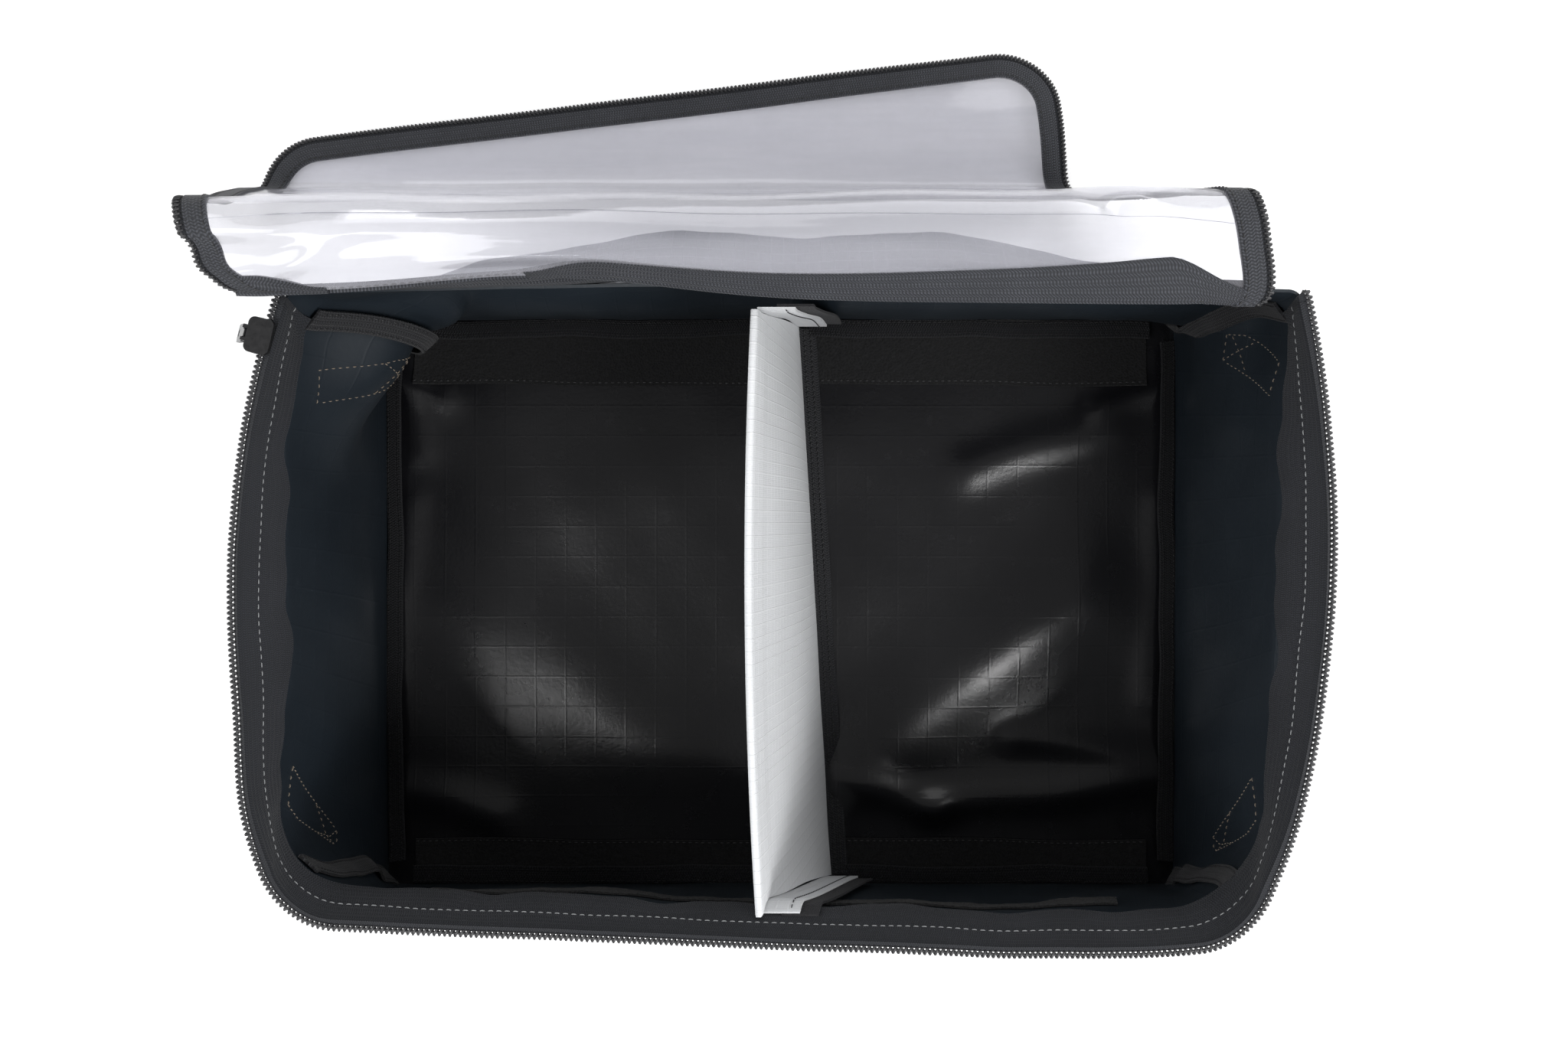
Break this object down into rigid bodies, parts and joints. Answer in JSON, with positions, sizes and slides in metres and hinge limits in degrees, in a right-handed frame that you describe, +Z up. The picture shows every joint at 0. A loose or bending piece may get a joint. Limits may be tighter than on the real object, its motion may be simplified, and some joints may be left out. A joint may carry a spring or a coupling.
{
  "type": "zip-top storage bag",
  "caption": "Open rectangular ripstop canvas bag with a zipped clear lid folded back behind it, a movable hook-and-loop divider and two side handles.",
  "frame": {"origin": "middle of the underside of the bag's floor", "axes": "+X to the bag's right along its long side, +Y to its back where the lid is hinged, +Z up"},
  "size_m": [0.5769, 0.5213, 0.2214],
  "materials": {
    "canvas": "light grey ripstop canvas outside, dark navy coated face inside",
    "floor_lining": "glossy black coated ripstop",
    "divider_canvas": "light grey ripstop canvas",
    "seam_binding": "black woven binding tape",
    "zip_tape": "black woven zip tape",
    "zip_coil": "black nylon coil",
    "loop_tape": "black brushed loop pile",
    "hook_tape": "black hook tape",
    "webbing": "black woven webbing",
    "clear_sheet": "clear flexible vinyl sheet",
    "slider_metal": "black enamelled zinc"
  },
  "bodies": {
    "bag": {"back_wall": "canvas", "corner_seam_binding_back_left": "seam_binding", "corner_seam_binding_back_right": "seam_binding", "corner_seam_binding_front_left": "seam_binding", "corner_seam_binding_front_right": "seam_binding", "floor_loop_strip_back": "loop_tape", "floor_loop_strip_front": "loop_tape", "floor_panel": "floor_lining", "floor_seam_binding_back": "seam_binding", "floor_seam_binding_front": "seam_binding", "floor_seam_binding_left": "seam_binding", "floor_seam_binding_right": "seam_binding", "front_wall": "canvas", "handle_legs_left": "webbing", "handle_legs_right": "webbing", "hinge_binding": "seam_binding", "left_wall": "canvas", "lid_binding_hinge": "seam_binding", "lid_window_hinge": "clear_sheet", "lid_zip_hinge": "zip_coil", "right_wall": "canvas", "rim_zip_coil_front": "zip_coil", "rim_zip_coil_left": "zip_coil", "rim_zip_coil_right": "zip_coil", "rim_zip_tape_front": "zip_tape", "rim_zip_tape_left": "zip_tape", "rim_zip_tape_right": "zip_tape", "wall_loop_strip_back": "loop_tape", "wall_loop_strip_front": "loop_tape"},
    "lid_roll": {"lid_binding_roll": "seam_binding", "lid_window_roll": "clear_sheet", "lid_zip_roll": "zip_coil"},
    "lid_crown": {"lid_binding_crown": "seam_binding", "lid_window_crown": "clear_sheet", "lid_zip_crown": "zip_coil"},
    "lid_hanging": {"lid_binding_hanging": "seam_binding", "lid_window_hanging": "clear_sheet", "lid_zip_hanging": "zip_coil"},
    "lid_far": {"lid_binding_far": "seam_binding", "lid_window_far": "clear_sheet", "lid_zip_far": "zip_coil"},
    "slider": {"zip_slider": "slider_metal"},
    "pull": {"zip_pull": "slider_metal"},
    "divider": {"divider_flange_back": "divider_canvas", "divider_flange_front": "divider_canvas", "divider_foot_binding": "seam_binding", "divider_hook_strip_back": "hook_tape", "divider_hook_strip_front": "hook_tape", "divider_panel": "divider_canvas"},
    "handle_left": {"handle_strap_left": "webbing"},
    "handle_right": {"handle_strap_right": "webbing"}
  },
  "joints": [
    {"name": "lid_hinge", "type": "hinge", "parent": "bag", "child": "lid_roll", "pos_m": [-0.008, 0.15, 0.201], "axis": [0.9987, 0.0506, 0], "range_deg": [0, 158]},
    {"name": "lid_fold_crown", "type": "hinge", "parent": "lid_roll", "child": "lid_crown", "pos_m": [-0.01112, 0.17951, 0.21297], "axis": [0.9993, -0.0238, -0.03], "range_deg": [0, 38.01]},
    {"name": "lid_fold_drop", "type": "hinge", "parent": "lid_crown", "child": "lid_hanging", "pos_m": [-0.01401, 0.20341, 0.20622], "axis": [0.9971, -0.0741, -0.0155], "range_deg": [0, 58.01]},
    {"name": "lid_fold_ground", "type": "hinge", "parent": "lid_hanging", "child": "lid_far", "pos_m": [-0.05227, 0.26471, 0.0018], "axis": [0.9969, -0.0785, 0], "range_deg": [-74.14, 0]},
    {"name": "slider_travel", "type": "hinge", "parent": "bag", "child": "slider", "pos_m": [0.27501, 0.01426, 0.1906], "axis": [0, 0, 1], "range_deg": [0, 20]},
    {"name": "pull_swing", "type": "hinge", "parent": "slider", "child": "pull", "pos_m": [-0.25229, 0.13967, 0.1926], "axis": [0.2314, 0.9729, 0], "range_deg": [0, 65]},
    {"name": "divider_slide", "type": "slide", "parent": "bag", "child": "divider", "axis": [1, 0, 0], "range_m": [-0.165, 0.165]},
    {"name": "handle_left_swing", "type": "hinge", "parent": "bag", "child": "handle_left", "pos_m": [-0.256, 0, 0.162], "axis": [0, 1, 0], "range_deg": [0, 145]},
    {"name": "handle_right_swing", "type": "hinge", "parent": "bag", "child": "handle_right", "pos_m": [0.256, 0, 0.162], "axis": [0, -1, 0], "range_deg": [0, 145]}
  ],
  "couplings": [
    {"joint": "lid_fold_crown", "follows": "lid_hinge", "ratio": 0.24051},
    {"joint": "lid_fold_drop", "follows": "lid_hinge", "ratio": 0.36709},
    {"joint": "lid_fold_ground", "follows": "lid_hinge", "ratio": -0.46919}
  ]
}
